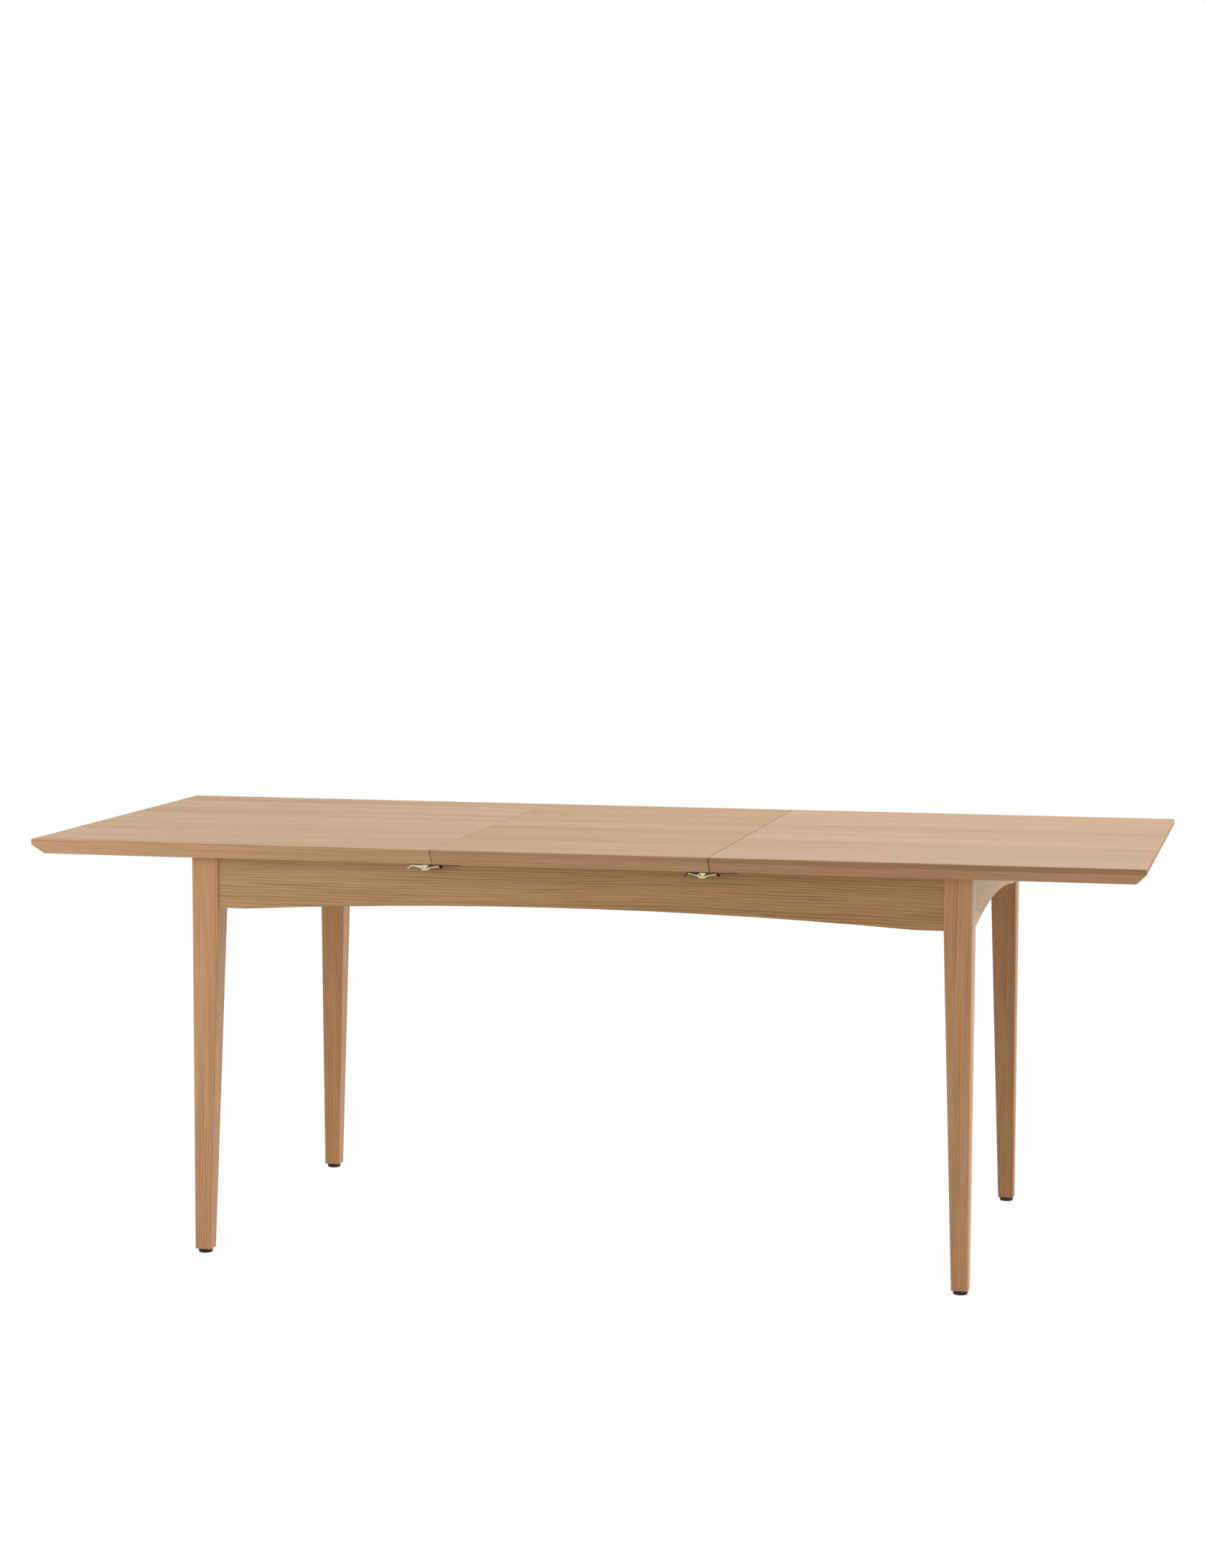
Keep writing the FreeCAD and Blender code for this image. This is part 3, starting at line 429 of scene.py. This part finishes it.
def board_oak(name, seed, staves, figure, face_tint, band_light_tint, bevel_light_tint):
    """Oak of a top or leaf: veneered staves above and below and a solid lipping round the edges."""
    settings = bpy.context.scene.oak_settings
    material, graph = new_material(name)
    x, y, z = graph.place()
    far = Vector(CAD_BOX[1])
    joint = (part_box("leaf_front")[1][0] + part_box("right_top")[0][0]) / 2
    row = (y + staves * STAVE_SHIFT) / settings.stave_width
    chance = graph.node("ShaderNodeTexWhiteNoise", {"noise_dimensions": "1D"},
                        {"W": row.apply("FLOOR") + staves})
    seam = graph.ramp((row.apply("FRACT") - 0.5).apply("ABSOLUTE"), [(0.490, 0.0), (0.499, 1.0)])
    face = Grain(graph, x + chance * 9.0, y + chance * 0.37, z, settings.ring_pitch, 0.30, figure)
    face_colour = face.colour(graph, tinted(settings.top_light, face_tint),
                              tinted(settings.top_dark, face_tint),
                              (chance - 0.5) * STAVE_TONES + STAVE_TONE_SHIFT)
    face_colour = graph.mix(seam * 0.22, face_colour, SEAM_SHADE, "MULTIPLY")
    at_end = (x.apply("ABSOLUTE") - far.x).apply("GREATER_THAN", y.apply("ABSOLUTE") - far.y)
    run = x + (y - x) * at_end
    inward = y + (x - y) * at_end
    lip = Grain(graph, run + seed * 2.3, z + seed * 0.07, inward * 0.2, settings.ring_pitch * 0.8, 0.6, 0.6)
    lip_colour = lip.colour(graph, settings.edge_light, settings.edge_dark, 0.0, 0.15)
    # Painted light and shade on the lipping: the band under the face and the bevel below it each take their
    # own tint, and the ends take END_LIPPING_TINT
    under_band = graph.fade(far.z - z, *BEVEL_START)
    lip_light_tint = graph.mix(under_band, rgba(band_light_tint), rgba(bevel_light_tint))
    lip_light_tint = graph.mix(at_end, lip_light_tint, rgba(END_LIPPING_TINT))
    lip_colour = graph.mix(1.0, lip_colour, lip_light_tint, "MULTIPLY")
    under_face = graph.fade(far.z - z, *LIPPING_START)
    over_back = graph.fade(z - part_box("left_top")[0][2], *BACK_START)
    edge = under_face * over_back
    colour = graph.mix(edge, face_colour, lip_colour)
    joint_line = 1 - graph.fade((x.apply("ABSOLUTE") - joint).apply("ABSOLUTE"), *JOINT_LINE)
    at_right = x.apply("GREATER_THAN", 0.0)
    joint_depth = LEFT_JOINT_LINE + at_right * (RIGHT_JOINT_LINE - LEFT_JOINT_LINE)
    colour = graph.mix(joint_line * joint_depth, colour, JOINT_SHADE, "MULTIPLY")
    pores = face.pores + (lip.pores - face.pores) * edge
    face_height = face.fibre * 0.5 - face.pores * 0.6
    lip_height = lip.fibre * 0.5 - lip.pores * 0.6
    height = face_height * (1 - edge) + lip_height * edge
    graph.surface(base_color=colour, roughness=0.55 + pores * 0.22 + (face.patch - 0.5) * 0.10,
                  normal=graph.bump(height, 0.25, 0.0004), ior=1.33)
    return material


def beech(name, along, seed):
    """Plain waxed hardwood of the hidden frame, with fine flecks."""
    material, graph = new_material(name)
    axes = graph.place()
    length, across, depth = [axes[index] for index in GRAIN_ORDER[along]]
    streak = graph.noise(length * 4.0 + seed, across * 170.0, depth * 170.0, 4.0)
    fleck = graph.noise(length * 90.0 + seed, across * 900.0, depth * 900.0, 1.0)
    dots = graph.ramp(fleck, [(0.60, 0.0), (0.70, 1.0)])
    base = bpy.context.scene.hardware_settings.beech
    colour = graph.mix(streak, rgba([part * 1.14 for part in base]), rgba([part * 0.80 for part in base]))
    colour = graph.mix(dots * 0.35, colour, FLECK_SHADE, "MULTIPLY")
    graph.surface(base_color=colour, roughness=0.50 + streak * 0.12,
                  normal=graph.bump(streak, 0.2, 0.0003), ior=1.45)
    return material


def satin_metal(name, colour, rough, scratch, dark_where=None):
    """Stamped metal with drawn lines, small smudges and a slightly uneven finish, darkened in part: black
    steel on the tongues' lips, painted shade on the plates' sheets and on one lever.
    """
    material, graph = new_material(name)
    x, y, z = graph.place()
    lines = graph.noise(x * 90.0, y * scratch, z * scratch, 3.0)
    smudge = graph.even_noise((x, y, z), 160.0, 2.0)
    tint = graph.mix(smudge, rgba(colour), rgba([part * 0.72 for part in colour]))
    if dark_where:
        black = bpy.context.scene.hardware_settings.black_steel
        # The black steel colour is laid where the caller's mask says: real black on the tongues' lips,
        # painted shade on the plates and one lever
        darkened = graph.mix(smudge, rgba(black), rgba([part * 1.6 for part in black]))
        tint = graph.mix(dark_where(x, z), tint, darkened)
    graph.surface(base_color=tint, metallic=1.0, roughness=rough + lines * 0.16 + smudge * 0.08,
                  normal=graph.bump(lines, 0.12, 0.0001))
    return material


def moulded_plastic(name, colour, rough):
    """Matt moulded plastic or rubber with a fine sparked grain."""
    material, graph = new_material(name)
    place = graph.place()
    grain = graph.even_noise(place, 1500.0, 2.0)
    dust = graph.ramp(graph.even_noise(place, 60.0, 3.0), [(0.4, 0.0), (0.75, 1.0)])
    tint = graph.mix(dust, rgba(colour), rgba([part * 2.2 for part in colour]))
    graph.surface(base_color=tint, roughness=rough + grain * 0.12,
                  normal=graph.bump(grain, 0.3, 0.0002), ior=1.38)
    return material


def felt(name):
    """Grey wool felt with a fibrous nap."""
    material, graph = new_material(name)
    nap = graph.even_noise(graph.place(), 900.0, 4.0, 0.7)
    tint = graph.mix(nap, FELT_DARK, FELT_LIGHT)
    graph.surface(base_color=tint, roughness=0.9, normal=graph.bump(nap, 0.6, 0.0004))
    return material


def lever_painted_shade(node):
    """Tells where shade is painted dark on a lever: over a bright lower edge, and at its tip."""
    low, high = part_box(node)
    crest = low[0] + LEVER_CREST
    pivot = high[0] - LEVER_BOSS_RADIUS
    underside = high[2] - LEVER_METAL
    slope = (underside - low[2]) / (pivot - crest)

    def shade(x, z):
        lower_edge = underside - (x - crest) * slope
        arm = (z - lower_edge).apply("GREATER_THAN", LEVER_BRIGHT_EDGE)
        arm = arm * x.apply("LESS_THAN", pivot - LEVER_BOSS_RADIUS)
        return arm.apply("MAXIMUM", x.apply("LESS_THAN", low[0] + LEVER_DARK_TIP))

    return shade


def finish(node, material):
    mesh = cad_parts[node].data
    mesh.materials.clear()
    mesh.materials.append(material)


def nodes_starting(*starts):
    return [name for name in sorted(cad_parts) if name.startswith(starts)]


# Operators, one for each group of pieces

class TABLE_OT_finish_tops(bpy.types.Operator):
    """Gives the end tops and the leaf their stave-built oak"""

    bl_idname = "table.finish_tops"
    bl_label = "Finish Tops and Leaf"

    def execute(self, context):
        for seed, (node, looks) in enumerate(BOARD_LOOKS.items(), BOARD_SEED):
            finish(node, board_oak("oak_" + node, seed, *looks))
        return {"FINISHED"}


class TABLE_OT_finish_legs(bpy.types.Operator):
    """Gives the legs oak with upright grain"""

    bl_idname = "table.finish_legs"
    bl_label = "Finish Legs"

    def execute(self, context):
        oak_settings = context.scene.oak_settings
        for seed, (node, tint) in enumerate(LEG_TINTS.items(), LEG_SEED):
            finish(node, oak("oak_" + node, "Z", tinted(oak_settings.leg_light, tint),
                             tinted(oak_settings.leg_dark, tint), seed, LEG_LINES))
        return {"FINISHED"}


class TABLE_OT_finish_aprons(bpy.types.Operator):
    """Gives the aprons oak with strong wavy grain along each board"""

    bl_idname = "table.finish_aprons"
    bl_label = "Finish Aprons"

    def execute(self, context):
        oak_settings = context.scene.oak_settings
        for seed, (node, (along, figure, low, high)) in enumerate(APRON_LOOKS.items(), APRON_SEED):
            finish(node, oak("oak_" + node, along, oak_settings.apron_light, oak_settings.apron_dark, seed,
                             figure, low, high))
        return {"FINISHED"}


class TABLE_OT_finish_inner_frame(bpy.types.Operator):
    """Gives the rails, bearers, runners and braces plain beech"""

    bl_idname = "table.finish_inner_frame"
    bl_label = "Finish Rails and Runners"

    def execute(self, context):
        lengthwise = beech("beech_lengthwise", "X", 3.0)
        crosswise = beech("beech_crosswise", "Y", 5.0)
        for node in nodes_starting("fixed_rail_", "left_runner_", "right_runner_"):
            finish(node, lengthwise)
        for node in nodes_starting("cross_rail_", "storage_bearer_", "brace_"):
            finish(node, crosswise)
        finish("leaf_pads", felt("pad_felt"))
        finish("runner_bumpers", moulded_plastic("bumper_rubber", RUBBER, 0.62))
        return {"FINISHED"}


class TABLE_OT_finish_latches(bpy.types.Operator):
    """Gives the latches and alignment pins satin brass, with black keepers and tongue lips, and with shade
    painted dark on the plates' sheets and on one lever
    """

    bl_idname = "table.finish_latches"
    bl_label = "Finish Latches"

    def execute(self, context):
        hardware = context.scene.hardware_settings
        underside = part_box("left_top")[0][2]
        pale = satin_metal("latch_brass", hardware.brass, *BRASS_FINISH)
        dark = satin_metal("latch_black_steel", hardware.black_steel, *BLACK_FINISH)
        # Painted shade: the plates' sheet next to the wood is blackened as the shadow in the gap above the
        # latch, and the ears stay brass
        painted_shade_sheet = satin_metal("latch_plate_brass", hardware.brass, *BRASS_FINISH,
                            lambda x, z: z.apply("GREATER_THAN", underside - LATCH_SHEET))
        for node in nodes_starting("latch_lever_", "leaf_pins"):
            finish(node, pale)
        # One lever gets painted shade: its arm over the bright lower edge and its tip are blackened as shade
        painted_shade_lever = "latch_lever_front_right"
        finish(painted_shade_lever, satin_metal("brass_" + painted_shade_lever, hardware.brass, *BRASS_FINISH,
                                   lever_painted_shade(painted_shade_lever)))
        for node in nodes_starting("latch_plate_"):
            finish(node, painted_shade_sheet)
        for node in nodes_starting("latch_keeper_"):
            finish(node, dark)
        for node in nodes_starting("latch_tongue_"):
            low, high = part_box(node)
            turned = node.endswith("back_right")
            lip = low[0] + LATCH_LIP if turned else high[0] - LATCH_LIP
            test = "LESS_THAN" if turned else "GREATER_THAN"
            finish(node, satin_metal("brass_" + node, hardware.brass, *TONGUE_FINISH,
                                     lambda x, z: x.apply(test, lip)))
        return {"FINISHED"}


class TABLE_OT_finish_fasteners(bpy.types.Operator):
    """Gives the screws, bolts, nuts, nails and hinge barrels plated steel"""

    bl_idname = "table.finish_fasteners"
    bl_label = "Finish Fasteners"

    def execute(self, context):
        hardware = context.scene.hardware_settings
        steel = satin_metal("fastener_steel", hardware.steel, *STEEL_FINISH)
        for node in nodes_starting("hanger_", "hinge_barrels_", "foot_nails", "frame_screws"):
            finish(node, steel)
        for node in [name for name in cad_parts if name.endswith("_screws")]:
            finish(node, steel)
        return {"FINISHED"}


class TABLE_OT_finish_feet(bpy.types.Operator):
    """Gives the feet matt black plastic"""

    bl_idname = "table.finish_feet"
    bl_label = "Finish Feet"

    def execute(self, context):
        black = moulded_plastic("foot_plastic", context.scene.hardware_settings.plastic, 0.48)
        for node in nodes_starting("foot_front", "foot_back"):
            finish(node, black)
        return {"FINISHED"}


def floor_material():
    """A white floor that keeps a soft shadow near the table and fades to plain white further out."""
    material, graph = new_material("floor_white")
    x, y, _ = graph.place()
    far = ((x * x + y * y) ** 0.5 / FLOOR_FADE).apply("MINIMUM", 1.0)
    matt = graph.node("ShaderNodeBsdfDiffuse", None, {"Color": FLOOR_WHITE})
    white = graph.node("ShaderNodeEmission", None, {"Color": WHITE, "Strength": 1.0})
    plain = graph.seen_directly() * graph.ramp(far, [(0.25, 0.94), (0.9, 1.0)])
    blend = graph.node("ShaderNodeMixShader", None, {0: plain, 1: matt, 2: white})
    graph.node("ShaderNodeOutputMaterial", None, {"Surface": blend})
    return material


def make_floor(settings):
    mesh = bpy.data.meshes.new("floor")
    shape = bmesh.new()
    bmesh.ops.create_grid(shape, x_segments=1, y_segments=1, size=settings.floor_size / 2)
    shape.to_mesh(mesh)
    shape.free()
    floor = bpy.data.objects.new("floor", mesh)
    bpy.context.collection.objects.link(floor)
    mesh.materials.append(floor_material())


def make_lamp(name, power, size, place, target):
    lamp = bpy.data.lights.new(name, "AREA")
    lamp.shape = "DISK"
    lamp.energy = power
    lamp.size = size
    lamp_object = bpy.data.objects.new(name, lamp)
    lamp_object.location = place
    sight = Vector(target) - Vector(place)
    lamp_object.rotation_euler = sight.to_track_quat("-Z", "Y").to_euler()
    bpy.context.collection.objects.link(lamp_object)


def make_world(settings):
    world = bpy.data.worlds.new("studio")
    world.use_nodes = True
    graph = Graph(world.node_tree)
    strength = settings.room_light + graph.seen_directly() * (1.0 - settings.room_light)
    backdrop = graph.node("ShaderNodeBackground", None, {"Color": WHITE, "Strength": strength})
    graph.node("ShaderNodeOutputWorld", None, {"Surface": backdrop})
    bpy.context.scene.world = world


def make_camera(settings):
    camera = bpy.data.cameras.new("photo_view")
    camera.sensor_fit = "VERTICAL"
    camera.sensor_height = SENSOR_HEIGHT
    camera.lens = settings.camera_lens
    camera.clip_end = VIEW_REACH
    view = bpy.data.objects.new("photo_view", camera)
    turn = Matrix.Rotation(settings.camera_yaw, 4, "Z")
    tilt = Matrix.Rotation(math.pi / 2 - settings.camera_pitch, 4, "X")
    roll = Matrix.Rotation(settings.camera_roll, 4, "Z")
    view.matrix_world = Matrix.Translation(settings.camera_place) @ turn @ tilt @ roll
    bpy.context.collection.objects.link(view)
    bpy.context.scene.camera = view


class TABLE_OT_build_stage(bpy.types.Operator):
    """Sets the camera, the lamps, the room light and the floor"""

    bl_idname = "table.build_stage"
    bl_label = "Build Stage"

    def execute(self, context):
        settings = context.scene.stage_settings
        make_camera(settings)
        make_world(settings)
        make_floor(settings)
        for name, (size, place, target) in LAMPS.items():
            make_lamp(name, getattr(settings, name + "_power"), size, place, target)
        context.scene.view_settings.view_transform = "Standard"
        return {"FINISHED"}


class TABLE_PT_sidebar(bpy.types.Panel):
    """Lists the table's settings and steps"""

    bl_idname = "TABLE_PT_sidebar"
    bl_label = "Extending Oak Table"
    bl_space_type = "VIEW_3D"
    bl_region_type = "UI"
    bl_category = "Table"

    def draw(self, context):
        for group_name in GROUPS:
            group = getattr(context.scene, group_name)
            box = self.layout.box()
            for name in group.__annotations__:
                box.prop(group, name)
        for operator in OPERATORS:
            self.layout.operator(operator.bl_idname)


OPERATORS = (
    TABLE_OT_finish_tops,
    TABLE_OT_finish_legs,
    TABLE_OT_finish_aprons,
    TABLE_OT_finish_inner_frame,
    TABLE_OT_finish_latches,
    TABLE_OT_finish_fasteners,
    TABLE_OT_finish_feet,
    TABLE_OT_build_stage,
)
GROUPS = {
    "oak_settings": OakSettings,
    "hardware_settings": HardwareSettings,
    "stage_settings": StageSettings,
}


def register():
    for name, group in GROUPS.items():
        bpy.utils.register_class(group)
        setattr(bpy.types.Scene, name, bpy.props.PointerProperty(type=group))
    for operator in OPERATORS:
        bpy.utils.register_class(operator)
    bpy.utils.register_class(TABLE_PT_sidebar)


def unregister():
    bpy.utils.unregister_class(TABLE_PT_sidebar)
    for operator in reversed(OPERATORS):
        bpy.utils.unregister_class(operator)
    for name, group in GROUPS.items():
        delattr(bpy.types.Scene, name)
        bpy.utils.unregister_class(group)


def main():
    register()
    bpy.ops.table.finish_tops()
    bpy.ops.table.finish_legs()
    bpy.ops.table.finish_aprons()
    bpy.ops.table.finish_inner_frame()
    bpy.ops.table.finish_latches()
    bpy.ops.table.finish_fasteners()
    bpy.ops.table.finish_feet()
    bpy.ops.table.build_stage()


if __name__ == "__main__":
    main()
